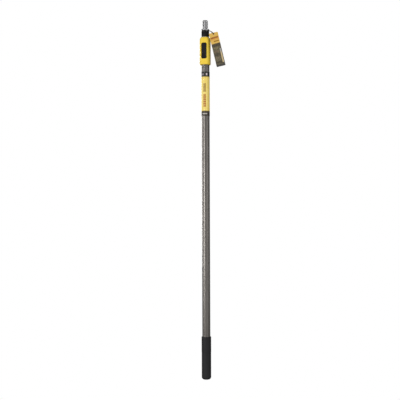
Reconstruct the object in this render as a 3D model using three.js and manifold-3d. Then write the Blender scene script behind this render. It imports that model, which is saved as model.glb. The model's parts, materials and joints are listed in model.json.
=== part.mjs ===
// A telescoping roller extension pole, in millimetres, +Z up.
// The origin is the centre of the butt end, and +Z runs along the pole to its threaded tip.
// The lock button faces -Y.
import * as THREE from "three";
import { mergeVertices } from "three/addons/utils/BufferGeometryUtils.js";
import Module from "manifold-3d";

const wasm = await Module();
wasm.setup();

// Driving dimensions
const poleLength = 1250;
const shoulderZ = 1219.2;
const fit = 0.3;
const slack = 1;

const tube = { radius: 14.2, bore: 11.7, low: 6.3, high: 1116 };
const flute = { count: 8, depth: 0.9, sharpness: 3, steps: 64, turn: THREE.MathUtils.degToRad(16.875) };
const grip = { high: 148.8, seam: 94, upper: 16.7, lower: 16.4, round: 9, floor: 4 };
const label = { low: 917, high: 1070.6, thick: 0.35 };

const housing = { low: 1094.7, high: 1189.8, half: 18.5, pad: 22.5, padHalf: 9, round: 2.5 };
const shoulder = { inset: 5.5, rise: 16 };
const seatTop = tube.high + 0.2;
const bush = { low: 1172, high: 1184, radius: 14.5, flats: 20 };
const screw = { radius: 1.5, head: 2.3, x: 14.7, levels: [1126, 1160], tip: -10, seat: 3.6, top: 6 };
const tubeScrew = { radius: 1.5, head: 2.8, z: 1104, tip: 12.2, seat: 16, top: 17.8 };

const button = { z: 1142, width: 18.4, corner: 5, length: 54, front: -22.3, back: -18.4 };
const pocket = { floor: -15.6, side: 0.4, end: 0.9 };
const cavity = { half: 7, floor: -12.4, low: 1117.5, high: 1169 };
const pivot = { y: -16.6, pin: 1.5, hole: 1.6, seat: 1.8, half: 12.5, hub: 2.6, hubHalf: 6.6 };

const indexPitch = 127;
const indexHoles = 9;
const pin = { z: button.z + 22, head: 4, headBack: -17.6, headFront: -16.2, radius: 3, tip: -10.1 };
const pinBush = { radius: 4.6, bore: 3.15, back: -12.4, tip: -10.4 };
const spring = { z: button.z - 19, coil: 3.05, wire: 0.45, turns: 4, back: -17.6, tip: -13.2 };

const hex = { flats: 19.6, wall: 1.5, low: 30.3, high: 1192.7, passage: 20.4 };
const spigotFlats = hex.flats - 2 * hex.wall - 0.4;
const ferrule = { low: 1193, high: 1212.2, radius: 13.5, spigot: 1172, bore: 6.3, boreLow: 1178 };
const tip = { shank: 6, shankLow: 1178.4, neck: 10, neckLow: 1212.5, neckHigh: 1214.8, flange: 13.5 };
const thread = { radius: 9.5, depth: 1.9, pitch: 5.08, sides: 20, perPitch: 6 };
const crossPin = { radius: 2, z: 1203, half: 13.1 };
const rivet = { radius: 2, ferruleZ: 1184, glideZ: 42 };
const glide = { low: 18, head: 30, high: 52, radius: 11.5 };

// The tag hangs in a plane that is turned this far about the pole from the button's side.
const tagTurn = THREE.MathUtils.degToRad(13);
const tag = { width: 31.3, length: 118.6, thick: 0.6, tilt: 13.3, corner: 2, hole: 1.35, edge: 5 };
const tagHole = { across: 28.5, out: 26.5, z: 1197.5 };
const string = { radius: 0.95, sides: 8, steps: 64 };
const knot = { out: -15.8, z: 1213.5, radius: 1.7 };

// The string's route, in the tag's own directions: across, out from the pole, and height.
const stringRoute = [
  [-1.0, -13.7, 1213.5],
  [-3.4, -12.3, 1213.5],
  [-7.0, -9.3, 1213.5],
  [-10.1, -5.4, 1213.5],
  [-11.5, 0, 1213.5],
  [-10.0, 5.8, 1213.5],
  [-5.9, 10.2, 1213.5],
  [-1.2, 12.5, 1213.5],
  [3.9, 14.8, 1213.5],
  [9.0, 17.0, 1213.0],
  [15.0, 19.2, 1210.6],
  [21.0, 21.2, 1205.6],
  [25.4, 22.7, 1201.4],
  [27.9, 23.8, 1198.8],
  [28.5, 25.1, 1197.8],
  [28.5, 26.5, 1197.5],
  [28.4, 28.0, 1197.9],
  [27.7, 28.8, 1199.3],
  [26.2, 29.0, 1201.3],
  [24.4, 28.3, 1203.4],
  [22.0, 25.4, 1205.8],
  [19.6, 20.0, 1208.3],
  [17.0, 12.0, 1211.0],
  [14.6, 3.8, 1213.1],
  [12.3, -1.8, 1213.5],
  [9.9, -5.8, 1213.5],
  [6.5, -9.5, 1213.5],
  [3.2, -12.2, 1213.5],
  [1.0, -13.7, 1213.5],
];

// Solids
function solid(geometry) {
  const bare = geometry.index ? geometry.toNonIndexed() : geometry.clone();
  bare.deleteAttribute("normal");
  bare.deleteAttribute("uv");
  const merged = mergeVertices(bare, 1e-4);
  const mesh = new wasm.Mesh({
    numProp: 3,
    vertProperties: new Float32Array(merged.attributes.position.array),
    triVerts: new Uint32Array(merged.index.array),
  });
  return new wasm.Manifold(mesh);
}

function geometryOf(body) {
  const mesh = body.getMesh();
  const geometry = new THREE.BufferGeometry();
  geometry.setAttribute("position", new THREE.BufferAttribute(new Float32Array(mesh.vertProperties), 3));
  geometry.setIndex(new THREE.BufferAttribute(new Uint32Array(mesh.triVerts), 1));
  geometry.computeVertexNormals();
  return geometry;
}

function cut(body, ...tools) {
  return tools.reduce((left, tool) => left.subtract(tool), body);
}

function join(body, ...others) {
  return others.reduce((whole, other) => whole.add(other), body);
}

// A cylinder from one height to another along Z.
function upright(radius, low, high, sides = 32) {
  const geometry = new THREE.CylinderGeometry(radius, radius, high - low, sides);
  geometry.rotateX(Math.PI / 2);
  geometry.translate(0, 0, (low + high) / 2);
  return solid(geometry);
}

// A cylinder along Y, at x and z.
function alongY(radius, from, to, x, z, sides = 24) {
  const geometry = new THREE.CylinderGeometry(radius, radius, to - from, sides);
  geometry.translate(x, (from + to) / 2, z);
  return solid(geometry);
}

// A cylinder along X, at y and z.
function alongX(radius, from, to, y, z, sides = 24) {
  const geometry = new THREE.CylinderGeometry(radius, radius, to - from, sides);
  geometry.rotateZ(Math.PI / 2);
  geometry.translate((from + to) / 2, y, z);
  return solid(geometry);
}

function block(x0, x1, y0, y1, z0, z1) {
  const geometry = new THREE.BoxGeometry(x1 - x0, y1 - y0, z1 - z0);
  geometry.translate((x0 + x1) / 2, (y0 + y1) / 2, (z0 + z1) / 2);
  return solid(geometry);
}

// An outline in the XY plane, extruded along Z.
function prism(outline, low, high) {
  const geometry = new THREE.ExtrudeGeometry(outline, { depth: high - low, bevelEnabled: false });
  geometry.translate(0, 0, low);
  return solid(geometry);
}

// A profile of [radius, height] pairs, turned about Z.
function turned(profile, sides = 48) {
  const points = profile.map(([radius, height]) => new THREE.Vector2(radius, height));
  const geometry = new THREE.LatheGeometry(points, sides);
  geometry.rotateX(Math.PI / 2);
  return solid(geometry);
}

// Points on a quarter circle, from one angle to another, as [radius, height] pairs.
function arc(centreR, centreZ, radius, fromDegrees, toDegrees, steps) {
  return Array.from({ length: steps + 1 }, (_, i) => {
    const angle = THREE.MathUtils.degToRad(fromDegrees + ((toDegrees - fromDegrees) * i) / steps);
    return [centreR + radius * Math.cos(angle), centreZ + radius * Math.sin(angle)];
  });
}

// The tube's fluted outline, grown by a distance: narrow grooves, one of them facing -Y.
function flutedOutline(grow) {
  const points = Array.from({ length: flute.steps }, (_, i) => {
    const angle = (2 * Math.PI * i) / flute.steps;
    const wave = (1 + Math.cos(flute.count * (angle + Math.PI / 2 - flute.turn))) / 2;
    const radius = tube.radius + grow - flute.depth * wave ** flute.sharpness;
    return new THREE.Vector2(radius * Math.cos(angle), radius * Math.sin(angle));
  });
  return new THREE.Shape(points);
}

// A hexagon with two flats facing -Y and +Y.
function hexagon(flats) {
  const radius = flats / Math.sqrt(3);
  const points = Array.from({ length: 6 }, (_, i) => {
    const angle = (Math.PI * i) / 3;
    return new THREE.Vector2(radius * Math.cos(angle), radius * Math.sin(angle));
  });
  return new THREE.Shape(points);
}

// An upright plate with rounded corners in the XZ plane, from one y to another.
function roundedPlate(width, length, corner, z, from, to, round = 0) {
  const radius = corner - round;
  const x = width / 2 - corner;
  const rise = length / 2 - corner;
  const outline = new THREE.Shape();
  outline.absarc(x, rise, radius, 0, Math.PI / 2, false);
  outline.absarc(-x, rise, radius, Math.PI / 2, Math.PI, false);
  outline.absarc(-x, -rise, radius, Math.PI, 1.5 * Math.PI, false);
  outline.absarc(x, -rise, radius, 1.5 * Math.PI, 2 * Math.PI, false);
  const geometry = new THREE.ExtrudeGeometry(outline, {
    depth: to - from - round,
    bevelEnabled: round > 0,
    bevelThickness: round,
    bevelSize: round,
    bevelSegments: 2,
    curveSegments: 6,
  });
  geometry.rotateX(Math.PI / 2);
  geometry.translate(0, to, z);
  const whole = solid(geometry);
  return round > 0 ? whole.intersect(block(-width, width, from - slack, to, z - length, z + length)) : whole;
}

// Outer pole
function outerTube() {
  const body = prism(flutedOutline(0), tube.low, tube.high);
  const bore = upright(tube.bore, tube.low - slack, tube.high + slack, 48);
  const screwHole = alongY(tubeScrew.radius + fit, 0, tubeScrew.top, 0, tubeScrew.z, 16);
  return cut(body, bore, screwHole);
}

function gripSleeve() {
  const seamDepth = 0.5;
  const profile = [
    [0, 0],
    ...arc(grip.lower - grip.round, grip.round, grip.round, -90, 0, 5),
    [grip.lower, grip.seam - seamDepth],
    [grip.lower - seamDepth, grip.seam],
    [grip.upper, grip.seam + 2 * seamDepth],
    [grip.upper, grip.high - slack],
    [grip.upper - slack, grip.high],
    [0, grip.high],
  ];
  const socket = prism(flutedOutline(fit), tube.low, grip.high + slack);
  const well = upright(tube.radius + fit, grip.floor, tube.low + slack / 10, 48);
  return cut(turned(profile, 40), socket, well);
}

function endPlug() {
  const flange = upright(tube.radius, grip.floor + fit, tube.low - fit, 48);
  const plug = upright(tube.bore - fit, tube.low - slack, glide.low - slack, 48);
  return join(flange, plug);
}

function labelSleeve() {
  const outer = prism(flutedOutline(fit + label.thick), label.low, label.high);
  return cut(outer, prism(flutedOutline(fit), label.low - slack, label.high + slack));
}

// Lock housing: a rounded block with a forward pad, made in two halves that meet at y = 0.
function housingOutline() {
  const shoulderY = -6;
  const pull = 10;
  const outline = new THREE.Shape();
  outline.absarc(0, 0, housing.half, 0, Math.PI, false);
  outline.lineTo(-housing.half, shoulderY);
  outline.bezierCurveTo(
    -housing.half,
    shoulderY - pull,
    -housing.padHalf - pull / 3,
    -housing.pad,
    -housing.padHalf + slack,
    -housing.pad,
  );
  outline.lineTo(housing.padHalf - slack, -housing.pad);
  outline.bezierCurveTo(
    housing.padHalf + pull / 3,
    -housing.pad,
    housing.half,
    shoulderY - pull,
    housing.half,
    shoulderY,
  );
  return outline;
}

// The outline raised from low to high, its ends rounded by an inset over a rise.
function roundedBlock(inset, rise, steps, low, high) {
  const geometry = new THREE.ExtrudeGeometry(housingOutline(), {
    depth: high - low - 2 * rise,
    bevelThickness: rise,
    bevelSize: inset,
    bevelOffset: -inset,
    bevelSegments: steps,
    curveSegments: 8,
  });
  geometry.translate(0, 0, low + rise);
  return solid(geometry);
}

// Sloping shoulders at the top, a small round at the foot.
function housingBlock() {
  const beyond = 2 * shoulder.rise;
  const foot = roundedBlock(housing.round, housing.round, 2, housing.low, housing.high + beyond);
  const top = roundedBlock(shoulder.inset, shoulder.rise, 4, housing.low - beyond, housing.high);
  const seat = prism(flutedOutline(fit), housing.low - slack, seatTop);
  const passage = prism(hexagon(hex.passage), seatTop - slack, housing.high + slack);
  const bushSeat = upright(bush.radius + fit, bush.low - fit, bush.high + fit, 48);
  return cut(foot.intersect(top), seat, passage, bushSeat);
}

function screwPlaces() {
  return screw.levels.flatMap((z) => [-screw.x, screw.x].map((x) => [x, z]));
}

function housingFront() {
  const halfSpace = block(-40, 40, -40, -fit / 2, housing.low - slack, housing.high + slack);
  const pocketWidth = button.width + 2 * pocket.side;
  const pocketLength = button.length + 2 * pocket.end;
  const pocketCorner = button.corner + pocket.side;
  const holes = screwPlaces().map(([x, z]) => alongY(screw.radius + fit, screw.tip - fit, slack, x, z, 16));
  return cut(
    housingBlock().intersect(halfSpace),
    roundedPlate(pocketWidth, pocketLength, pocketCorner, button.z, -housing.pad - slack, pocket.floor),
    block(-cavity.half, cavity.half, pocket.floor - slack, cavity.floor, cavity.low, cavity.high),
    alongX(pivot.seat, -pivot.half - fit, pivot.half + fit, pivot.y, button.z, 16),
    alongY(pinBush.radius + fit, cavity.floor - slack, -slack, 0, pin.z),
    ...holes,
  );
}

function housingRear() {
  const halfSpace = block(-40, 40, fit / 2, 40, housing.low - slack, housing.high + slack);
  const holes = screwPlaces().flatMap(([x, z]) => [
    alongY(screw.radius + fit, 0, screw.top, x, z, 16),
    alongY(screw.head + fit, screw.seat - fit, housing.half + slack, x, z, 20),
  ]);
  return cut(
    housingBlock().intersect(halfSpace),
    alongY(tubeScrew.radius + fit, 0, tubeScrew.top, 0, tubeScrew.z, 16),
    alongY(tubeScrew.head + fit, tubeScrew.seat - fit, housing.half + slack, 0, tubeScrew.z, 20),
    ...holes,
  );
}

// A pan-head screw along Y with a cross recess, its head towards +Y.
function screwBody(size, x, z) {
  const recess = { half: 0.45, arm: 1.6, depth: 1 };
  const upDown = block(
    x - recess.half,
    x + recess.half,
    size.top - recess.depth,
    size.top + slack,
    z - recess.arm,
    z + recess.arm,
  );
  const sideways = block(
    x - recess.arm,
    x + recess.arm,
    size.top - recess.depth,
    size.top + slack,
    z - recess.half,
    z + recess.half,
  );
  const shank = alongY(size.radius, size.tip, size.seat + slack, x, z, 16);
  const head = alongY(size.head, size.seat, size.top, x, z, 20);
  return cut(join(shank, head), upDown, sideways);
}

function guideBush() {
  const ring = upright(bush.radius, bush.low, bush.high, 48);
  return cut(ring, prism(hexagon(bush.flats), bush.low - slack, bush.high + slack));
}

// Lock: a rocking button whose upper end carries the lock pin.
function releaseButton() {
  const { width, length, corner, z, front, back } = button;
  const plate = roundedPlate(width, length, corner, z, front, back, slack);
  const rib = block(
    -pivot.hubHalf,
    pivot.hubHalf,
    button.back - slack,
    pivot.y,
    button.z - pivot.hub,
    button.z + pivot.hub,
  );
  const hub = alongX(pivot.hub, -pivot.hubHalf, pivot.hubHalf, pivot.y, button.z);
  const peg = alongY(2.2, button.back - slack, spring.back + 0.8, 0, spring.z, 16);
  const body = join(plate, rib, hub, peg, ...clawSides(-1), ...clawSides(1));
  const bore = alongX(pivot.hole, -housing.half, housing.half, pivot.y, button.z);
  return cut(body, bore, ...thumbGrooves());
}

// One arm and lip of the claw that holds the lock pin's head.
function clawSides(side) {
  const claw = { inner: 4.6, outer: 6.2, lipInner: 3.6, lipBack: -15.5, lipFront: -14.8, half: 3 };
  const low = pin.z - claw.half;
  const high = pin.z + claw.half;
  const spanOf = (from, to) => (side < 0 ? [-to, -from] : [from, to]);
  return [
    block(...spanOf(claw.inner, claw.outer), button.back - slack, claw.lipFront, low, high),
    block(...spanOf(claw.lipInner, claw.outer), claw.lipBack, claw.lipFront, low, high),
  ];
}

// Shallow cross grooves on the button's lower half, where the thumb presses.
function thumbGrooves() {
  const groove = { count: 4, pitch: 3, depth: 0.5, half: 0.5, reach: 5.5, drop: 9 };
  return Array.from({ length: groove.count }, (_, i) => {
    const z = button.z - groove.drop - i * groove.pitch;
    const low = z - groove.half;
    const high = z + groove.half;
    return block(-groove.reach, groove.reach, button.front - slack, button.front + groove.depth, low, high);
  });
}

function buttonPivotPin() {
  return alongX(pivot.pin, -pivot.half, pivot.half, pivot.y, button.z);
}

class Coil extends THREE.Curve {
  getPoint(t, target = new THREE.Vector3()) {
    const angle = 2 * Math.PI * spring.turns * t;
    const y = spring.back + (spring.tip - spring.back) * t;
    return target.set(spring.coil * Math.cos(angle), y, spring.z + spring.coil * Math.sin(angle));
  }
}

// A round section swept along a curve.
function swept(curve, radius, sides, steps) {
  const section = new THREE.Shape();
  section.absarc(0, 0, radius, 0, 2 * Math.PI, false);
  const geometry = new THREE.ExtrudeGeometry(section, {
    steps,
    extrudePath: curve,
    bevelEnabled: false,
    curveSegments: sides / 2,
  });
  return geometry;
}

function buttonSpring() {
  return solid(swept(new Coil(), spring.wire, 6, 10 * spring.turns));
}

function lockPin() {
  const head = alongY(pin.head, pin.headBack, pin.headFront, 0, pin.z);
  const shaft = alongY(pin.radius, pin.headFront - slack / 2, pin.tip, 0, pin.z);
  return join(head, shaft);
}

function lockPinBush() {
  const ring = alongY(pinBush.radius, pinBush.back, pinBush.tip, 0, pin.z);
  return cut(ring, alongY(pinBush.bore, pinBush.back - slack, pinBush.tip + slack, 0, pin.z));
}

// Inner pole
function innerTube() {
  const outer = prism(hexagon(hex.flats), hex.low, hex.high);
  const inside = prism(hexagon(hex.flats - 2 * hex.wall), hex.low - slack, hex.high + slack);
  const index = Array.from({ length: indexHoles }, (_, i) =>
    alongY(pin.radius + 0.5, -hex.flats, 0, 0, pin.z - i * indexPitch, 20),
  );
  const rivetHoles = [rivet.ferruleZ, rivet.glideZ].map((z) =>
    alongY(rivet.radius + fit, -hex.flats, hex.flats, 0, z, 16),
  );
  return cut(outer, inside, ...index, ...rivetHoles);
}

function tipFerrule() {
  const collar = turned([
    [0, ferrule.low],
    [ferrule.radius - slack, ferrule.low],
    [ferrule.radius, ferrule.low + slack],
    [ferrule.radius, ferrule.high],
    [0, ferrule.high],
  ]);
  const spigot = prism(hexagon(spigotFlats), ferrule.spigot, ferrule.low + slack);
  return cut(
    join(collar, spigot),
    upright(ferrule.bore, ferrule.boreLow, ferrule.high + slack),
    alongX(crossPin.radius + fit, -ferrule.radius - slack, ferrule.radius + slack, 0, crossPin.z, 16),
    alongY(rivet.radius + fit, -hex.flats, hex.flats, 0, rivet.ferruleZ, 16),
  );
}

// The share of the thread's depth at a turn and height: a crest, a flank down, a root and a flank up.
function threadHeight(turn, height) {
  const phase = (((height / thread.pitch - turn) % 1) + 1) % 1;
  const flat = 0.37;
  const flank = 0.13;
  if (phase < flat) return 1;
  if (phase < flat + flank) return 1 - (phase - flat) / flank;
  if (phase < 2 * flat + flank) return 0;
  return (phase - 2 * flat - flank) / flank;
}

function threadedStem() {
  const low = shoulderZ - slack;
  const rows = Math.round(((poleLength - low) / thread.pitch) * thread.perPitch);
  const rise = (poleLength - low) / rows;
  const points = Array.from({ length: rows + 1 }, (_, i) => new THREE.Vector2(thread.radius, low + i * rise));
  const closed = [new THREE.Vector2(0, low), ...points, new THREE.Vector2(0, poleLength)];
  const geometry = new THREE.LatheGeometry(closed, thread.sides);
  geometry.rotateX(Math.PI / 2);
  const place = geometry.attributes.position;
  for (let i = 0; i < place.count; i++) {
    const point = new THREE.Vector3().fromBufferAttribute(place, i);
    const radius = Math.hypot(point.x, point.y);
    if (radius < slack) continue;
    const turn = Math.atan2(point.y, point.x) / (2 * Math.PI);
    const taper = Math.max(0, point.z - (poleLength - 2)) * 0.8;
    const wanted = thread.radius - thread.depth * (1 - threadHeight(turn, point.z)) - taper;
    place.setXYZ(i, (point.x * wanted) / radius, (point.y * wanted) / radius, point.z);
  }
  return solid(geometry);
}

function threadedTip() {
  const bodyProfile = [
    [0, tip.shankLow],
    [tip.shank, tip.shankLow],
    [tip.shank, tip.neckLow],
    [tip.neck, tip.neckLow],
    [tip.neck, tip.neckHigh],
    [tip.flange - slack / 2, tip.neckHigh],
    [tip.flange, tip.neckHigh + slack / 2],
    [tip.flange, shoulderZ - slack / 2],
    [tip.flange - slack / 2, shoulderZ],
    [0, shoulderZ],
  ];
  const reach = tip.shank + slack;
  return cut(
    join(turned(bodyProfile), threadedStem()),
    alongX(crossPin.radius + fit, -reach, reach, 0, crossPin.z, 16),
    alongY(rivet.radius + fit, -reach, reach, 0, rivet.ferruleZ, 16),
  );
}

function poleGlide() {
  const head = upright(glide.radius, glide.low, glide.head, 48);
  const spigot = prism(hexagon(spigotFlats), glide.head - slack, glide.high);
  return cut(join(head, spigot), alongY(rivet.radius + fit, -hex.flats, hex.flats, 0, rivet.glideZ, 16));
}

function flushRivet(z) {
  const half = hex.flats / 2;
  return alongY(rivet.radius, -half, half, 0, z, 16);
}

// Hang tag and its string
function towardsTag(geometry) {
  geometry.rotateZ(tagTurn);
  return geometry;
}

function tagString() {
  const points = stringRoute.map(([across, out, z]) => new THREE.Vector3(across, -out, z));
  const route = new THREE.CatmullRomCurve3(points, false, "centripetal");
  return solid(towardsTag(swept(route, string.radius, string.sides, string.steps)));
}

function tagKnot() {
  const geometry = new THREE.SphereGeometry(knot.radius, 12, 8);
  geometry.scale(1.4, 1, 0.9);
  geometry.translate(0, -knot.out, knot.z);
  return solid(towardsTag(geometry));
}

function tagOutline() {
  const half = tag.width / 2;
  const top = tag.edge;
  const low = tag.edge - tag.length;
  const round = tag.corner;
  const outline = new THREE.Shape();
  outline.absarc(half - round, top - round, round, 0, Math.PI / 2, false);
  outline.absarc(round - half, top - round, round, Math.PI / 2, Math.PI, false);
  outline.absarc(round - half, low + round, round, Math.PI, 1.5 * Math.PI, false);
  outline.absarc(half - round, low + round, round, 1.5 * Math.PI, 2 * Math.PI, false);
  const hole = new THREE.Path();
  hole.absarc(0, 0, tag.hole, 0, 2 * Math.PI, true);
  outline.holes.push(hole);
  return outline;
}

function hangTag() {
  const geometry = new THREE.ExtrudeGeometry(tagOutline(), {
    depth: tag.thick,
    bevelEnabled: false,
    curveSegments: 8,
  });
  geometry.translate(0, 0, -tag.thick / 2);
  geometry.rotateZ(THREE.MathUtils.degToRad(tag.tilt));
  geometry.rotateX(Math.PI / 2);
  geometry.translate(tagHole.across, -tagHole.out, tagHole.z);
  return solid(towardsTag(geometry));
}

// Finishes: colour, roughness, metalness
const finishes = {
  tube: ["#8b8884", 0.4, 0.9],
  innerTube: ["#b4b6b8", 0.35, 1],
  steel: ["#a8a8a8", 0.3, 1],
  darkSteel: ["#4c4d50", 0.45, 1],
  yellow: ["#f0c838", 0.35, 0],
  black: ["#1c1b20", 0.45, 0],
  grip: ["#303031", 0.75, 0],
  glide: ["#d8d6cc", 0.5, 0],
  label: ["#f0ca50", 0.4, 0],
  card: ["#5a4a2e", 0.55, 0],
  string: ["#26221e", 0.9, 0],
};

const group = new THREE.Group();

function place(name, finish, body) {
  const [color, roughness, metalness] = finishes[finish];
  const material = new THREE.MeshStandardMaterial({ color, roughness, metalness });
  const mesh = new THREE.Mesh(geometryOf(body), material);
  mesh.name = name;
  group.add(mesh);
}

place("outer_tube", "tube", outerTube());
place("grip_sleeve", "grip", gripSleeve());
place("end_plug", "black", endPlug());
place("label_sleeve", "label", labelSleeve());
place("lock_housing_front", "yellow", housingFront());
place("lock_housing_rear", "yellow", housingRear());
screwPlaces().forEach(([x, z], i) => {
  place(`housing_screw_${i + 1}`, "darkSteel", screwBody(screw, x, z));
});
place("tube_screw", "darkSteel", screwBody(tubeScrew, 0, tubeScrew.z));
place("guide_bush", "black", guideBush());
place("release_button", "black", releaseButton());
place("button_pivot_pin", "steel", buttonPivotPin());
place("button_spring", "steel", buttonSpring());
place("lock_pin", "steel", lockPin());
place("lock_pin_bush", "steel", lockPinBush());
place("inner_tube", "innerTube", innerTube());
place("pole_glide", "glide", poleGlide());
place("glide_rivet", "steel", flushRivet(rivet.glideZ));
place("tip_ferrule", "black", tipFerrule());
place("ferrule_rivet", "steel", flushRivet(rivet.ferruleZ));
place("threaded_tip", "steel", threadedTip());
place("tip_cross_pin", "steel", alongX(crossPin.radius, -crossPin.half, crossPin.half, 0, crossPin.z));
place("tag_string", "string", tagString());
place("tag_knot", "string", tagKnot());
place("hang_tag", "card", hangTag());

export default group;
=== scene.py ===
import json
import math

import bmesh
import bpy
from mathutils import Matrix, Vector


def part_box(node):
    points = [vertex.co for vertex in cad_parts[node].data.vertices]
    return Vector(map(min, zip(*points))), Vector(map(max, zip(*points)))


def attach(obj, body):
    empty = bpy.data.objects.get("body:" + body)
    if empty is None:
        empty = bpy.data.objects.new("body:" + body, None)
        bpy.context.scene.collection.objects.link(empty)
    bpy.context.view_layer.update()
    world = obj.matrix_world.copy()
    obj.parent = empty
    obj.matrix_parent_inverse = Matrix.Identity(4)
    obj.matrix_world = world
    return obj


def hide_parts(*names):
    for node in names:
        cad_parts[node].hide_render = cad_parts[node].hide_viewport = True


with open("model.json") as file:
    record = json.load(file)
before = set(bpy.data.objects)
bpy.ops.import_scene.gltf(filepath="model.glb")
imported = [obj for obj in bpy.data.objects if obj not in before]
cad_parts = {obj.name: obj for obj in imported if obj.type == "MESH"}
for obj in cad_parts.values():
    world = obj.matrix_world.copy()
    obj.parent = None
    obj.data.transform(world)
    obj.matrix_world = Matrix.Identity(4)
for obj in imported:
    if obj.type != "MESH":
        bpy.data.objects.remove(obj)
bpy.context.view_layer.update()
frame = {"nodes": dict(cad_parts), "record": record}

mm = 0.001
fit = 0.3   # clearance between pieces, in millimetres
scene = bpy.context.scene
scene.view_settings.view_transform = "Standard"


# small helpers

def linear(hexColour):
    # sRGB hex to linear RGBA
    values = [int(hexColour[i:i + 2], 16) / 255 for i in (1, 3, 5)]
    return [v / 12.92 if v <= 0.04045 else ((v + 0.055) / 1.055) ** 2.4 for v in values] + [1]


def addNode(tree, kind, settings=None, links=None):
    # settings are the node's own properties, links are its inputs: a value or another node's output
    node = tree.nodes.new(kind)
    for name, value in (settings or {}).items():
        setattr(node, name, value)
    for key, value in (links or {}).items():
        if isinstance(value, bpy.types.NodeSocket):
            tree.links.new(value, node.inputs[key])
        else:
            node.inputs[key].default_value = value
    return node


def calculate(tree, operation, *values):
    # one step of arithmetic in a material or a shape tree
    return addNode(tree, "ShaderNodeMath", {"operation": operation}, dict(enumerate(values))).outputs[0]


def addPiece(name, mesh, body, finish=None, stands=()):
    thing = bpy.data.objects.new(name, mesh)
    scene.collection.objects.link(thing)
    if finish:
        mesh.materials.clear()
        mesh.materials.append(finish)
    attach(thing, body)
    if stands:
        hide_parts(*stands)
    return thing


def smoothBelow(mesh, degrees=32):
    # smooth faces, with the edges sharper than this left crisp
    work = bmesh.new()
    work.from_mesh(mesh)
    bmesh.ops.remove_doubles(work, verts=work.verts, dist=1e-7)
    bmesh.ops.recalc_face_normals(work, faces=work.faces)
    for face in work.faces:
        face.smooth = True
    for edge in work.edges:
        edge.smooth = len(edge.link_faces) == 2 and edge.calc_face_angle(0) < math.radians(degrees)
    work.to_mesh(mesh)
    work.free()
    return mesh


def loft(name, rings, loop=False, degrees=32):
    # joins rings that have the same number of points, and closes the ends unless the rings form a loop
    work = bmesh.new()
    rows = [[work.verts.new(point) for point in ring] for ring in rings]
    pairs = list(zip(rows, rows[1:])) + ([(rows[-1], rows[0])] if loop else [])
    for lower, upper in pairs:
        for i in range(len(lower)):
            j = (i + 1) % len(lower)
            work.faces.new((lower[i], lower[j], upper[j], upper[i]))
    if not loop:
        work.faces.new(rows[0][::-1])
        work.faces.new(rows[-1])
    bmesh.ops.dissolve_degenerate(work, edges=work.edges, dist=1e-8)
    mesh = bpy.data.meshes.new(name)
    work.to_mesh(mesh)
    work.free()
    return smoothBelow(mesh, degrees)


def ringOf(outline, z):
    return [(x, y, z) for x, y in outline]


def circle(radius, steps=64):
    return [(radius * math.cos(2 * math.pi * i / steps), radius * math.sin(2 * math.pi * i / steps))
            for i in range(steps)]


def turned(name, profile, steps=96, loop=False, degrees=32):
    # a profile of (radius, height) pairs turned about the pole's axis
    return loft(name, [ringOf(circle(max(radius, 1e-9), steps), z) for radius, z in profile], loop, degrees)


def roundCorner(radiusAt, zAt, size, fromDegrees, toDegrees, steps=6):
    # a round stretch of a profile
    angles = [math.radians(fromDegrees + (toDegrees - fromDegrees) * i / steps) for i in range(steps + 1)]
    return [(radiusAt + size * math.cos(a), zAt + size * math.sin(a)) for a in angles]


def joined(name, meshes):
    work = bmesh.new()
    for mesh in meshes:
        work.from_mesh(mesh)
    whole = bpy.data.meshes.new(name)
    work.to_mesh(whole)
    work.free()
    return whole


def moved(mesh, matrix):
    mesh.transform(matrix)
    return mesh


def baked(name, mesh, modifiers, degrees=32):
    # the mesh with these modifiers worked in, as a plain mesh
    thing = bpy.data.objects.new(name, mesh)
    scene.collection.objects.link(thing)
    for kind, settings in modifiers:
        modifier = thing.modifiers.new(kind.lower(), kind)
        for key, value in settings.items():
            setattr(modifier, key, value)
    graph = bpy.context.evaluated_depsgraph_get()
    result = bpy.data.meshes.new_from_object(thing.evaluated_get(graph))
    bpy.data.objects.remove(thing)
    result.name = name
    return smoothBelow(result, degrees)


def cut(name, mesh, tools, bevel=0.0, degrees=32, operation="DIFFERENCE"):
    # boolean cuts, then a small rounding of the sharp edges
    helpers = [bpy.data.objects.new(f"{name}Tool{i}", tool) for i, tool in enumerate(tools)]
    for helper in helpers:
        scene.collection.objects.link(helper)
    steps = [("BOOLEAN", {"operation": operation, "solver": "EXACT", "object": helper}) for helper in helpers]
    if bevel:
        steps.append(("BEVEL", {"width": bevel, "segments": 2, "limit_method": "ANGLE",
                                "angle_limit": math.radians(40), "use_clamp_overlap": True}))
    result = baked(name, mesh, steps, degrees)
    for helper in helpers:
        bpy.data.objects.remove(helper)
    return result


def startTree(name, inputs):
    # a shape tree with named inputs
    tree = bpy.data.node_groups.new(name, "GeometryNodeTree")
    for label, kind in inputs.items():
        tree.interface.new_socket(name=label, in_out="INPUT", socket_type=f"NodeSocket{kind}")
    tree.interface.new_socket(name="Geometry", in_out="OUTPUT", socket_type="NodeSocketGeometry")
    return tree, addNode(tree, "NodeGroupInput").outputs


def shifted(tree, geometry, **where):
    # the geometry with its points at a Position, or moved by an Offset
    return addNode(tree, "GeometryNodeSetPosition", None, {"Geometry": geometry, **where}).outputs[0]


def endTree(tree, geometry, finish):
    realized = addNode(tree, "GeometryNodeRealizeInstances", None, {"Geometry": geometry})
    painted = addNode(tree, "GeometryNodeSetMaterial", None,
                      {"Geometry": realized.outputs[0], "Material": finish})
    addNode(tree, "NodeGroupOutput", None, {0: painted.outputs[0]})


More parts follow.
